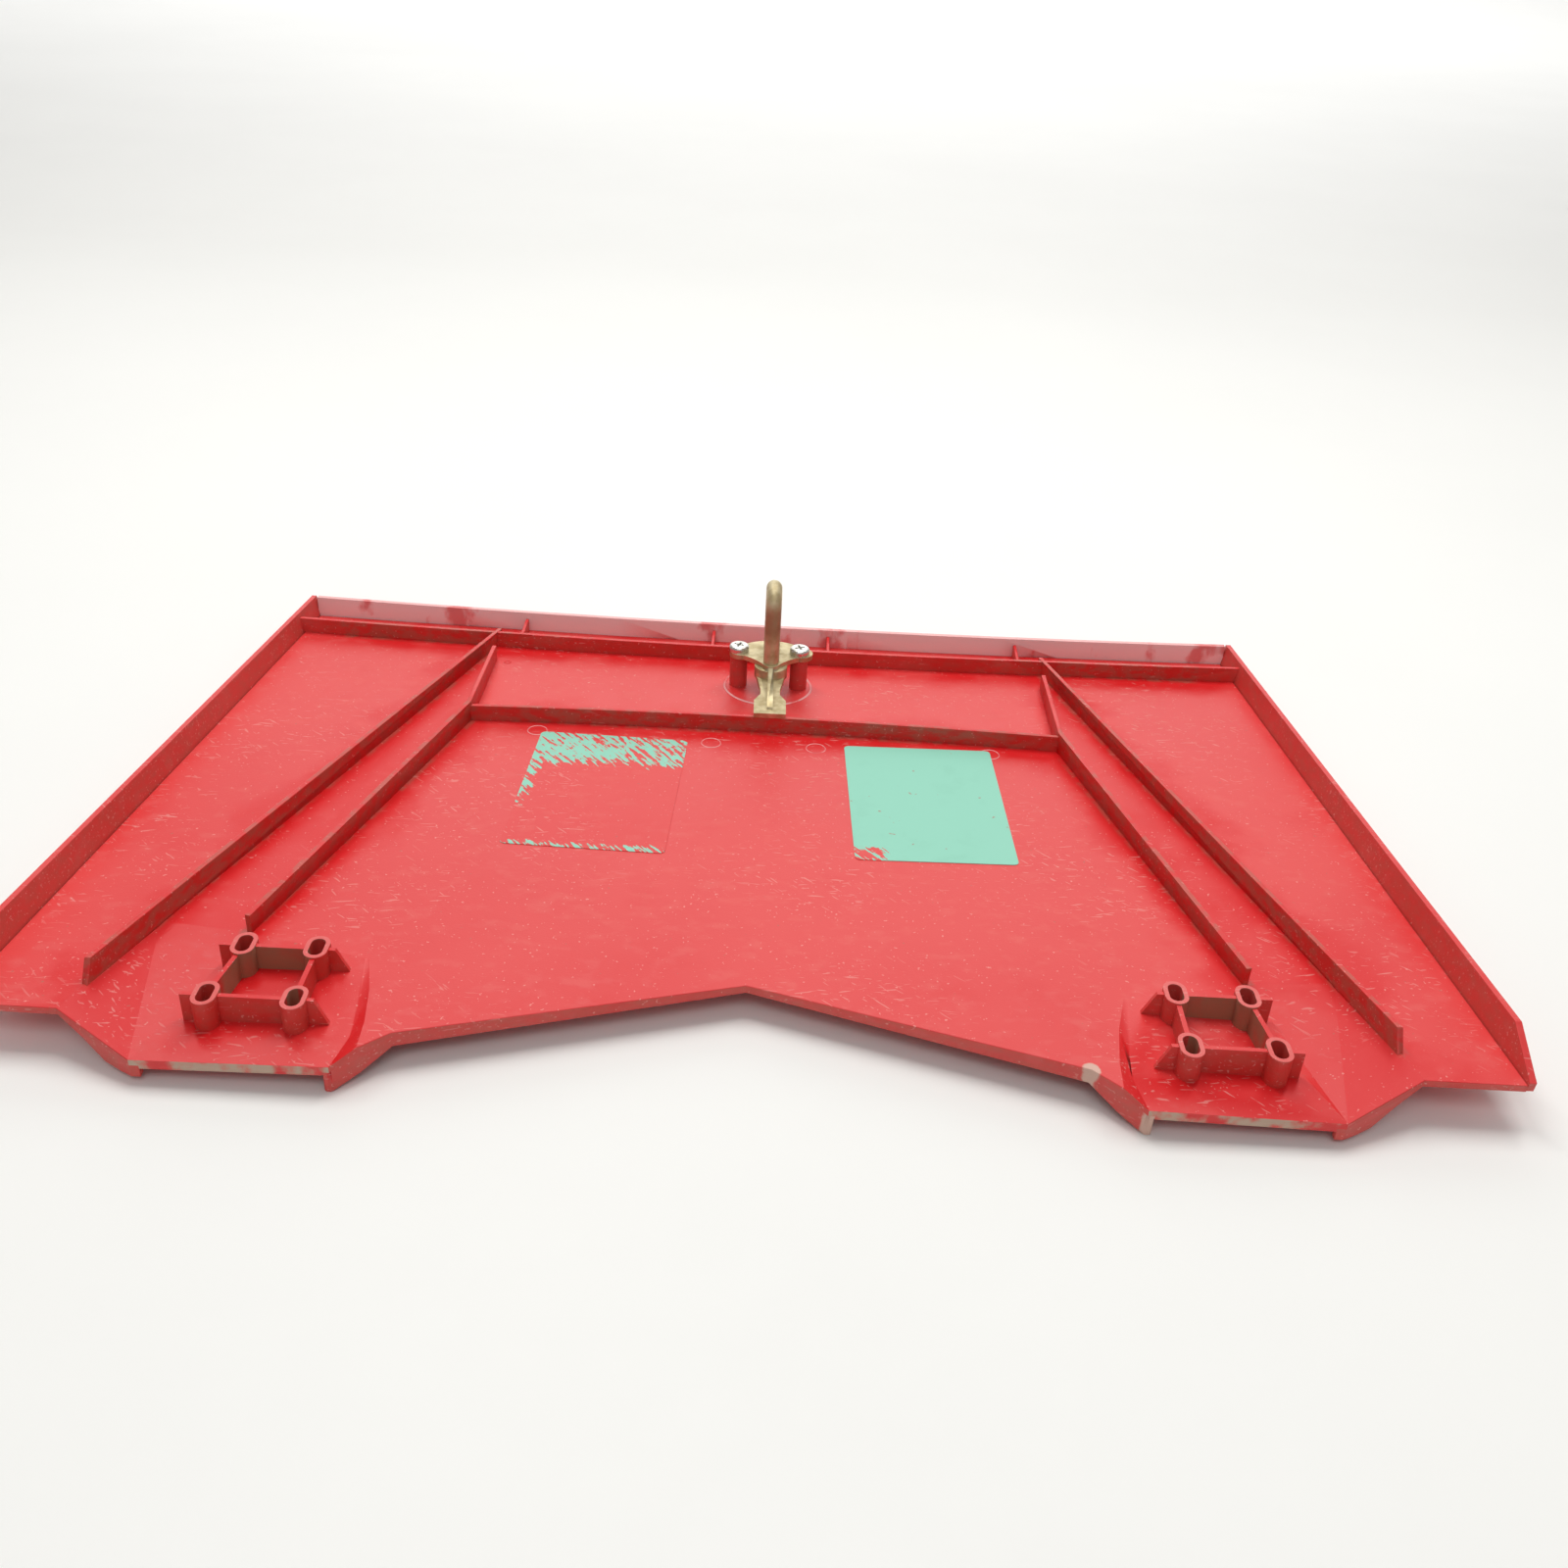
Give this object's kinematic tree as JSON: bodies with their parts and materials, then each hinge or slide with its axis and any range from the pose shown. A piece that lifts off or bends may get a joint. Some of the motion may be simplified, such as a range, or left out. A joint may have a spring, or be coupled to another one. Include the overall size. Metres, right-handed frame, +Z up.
{
  "type": "hinged hood panel",
  "caption": "Moulded plastic hood panel seen from its ribbed inside, with slotted hinge seats at the front corners and a looped latch striker at the rear.",
  "frame": {"origin": "on the surface the panel rests on, under the middle of its bounding box", "axes": "+X across the panel to its right, +Y from the hinge edge to the latch edge, +Z up, away from the show face"},
  "size_m": [0.6694, 0.4384, 0.077],
  "materials": {
    "red_plastic": "satin moulded red plastic, scratched and dusty on the inside",
    "yellow_zinc": "steel with a dull yellow zinc plating",
    "screw_zinc": "bright zinc plated steel",
    "label_paper": "pale green blank label, worn"
  },
  "bodies": {
    "root": {"cross_rib": "red_plastic", "front_lip_centre": "red_plastic", "front_lip_left": "red_plastic", "front_lip_right": "red_plastic", "hinge_boss_left": "red_plastic", "hinge_boss_right": "red_plastic", "hinge_pocket_left": "red_plastic", "hinge_pocket_right": "red_plastic", "inner_rib_left": "red_plastic", "inner_rib_right": "red_plastic", "label_left": "label_paper", "label_right": "label_paper", "latch_post_left": "red_plastic", "latch_post_right": "red_plastic", "latch_screw_left": "screw_zinc", "latch_screw_right": "screw_zinc", "outer_rib_left": "red_plastic", "outer_rib_right": "red_plastic", "panel_centre": "red_plastic", "panel_wing_left": "red_plastic", "panel_wing_right": "red_plastic", "rear_gusset_inner_left": "red_plastic", "rear_gusset_inner_right": "red_plastic", "rear_gusset_outer_left": "red_plastic", "rear_gusset_outer_right": "red_plastic", "rear_rib": "red_plastic", "rear_wall": "red_plastic", "short_rib_left": "red_plastic", "short_rib_right": "red_plastic", "side_wall_left": "red_plastic", "side_wall_right": "red_plastic", "slope_facet_left": "red_plastic", "slope_facet_right": "red_plastic", "striker_bracket": "yellow_zinc", "striker_rod": "yellow_zinc"}
  },
  "joints": []
}
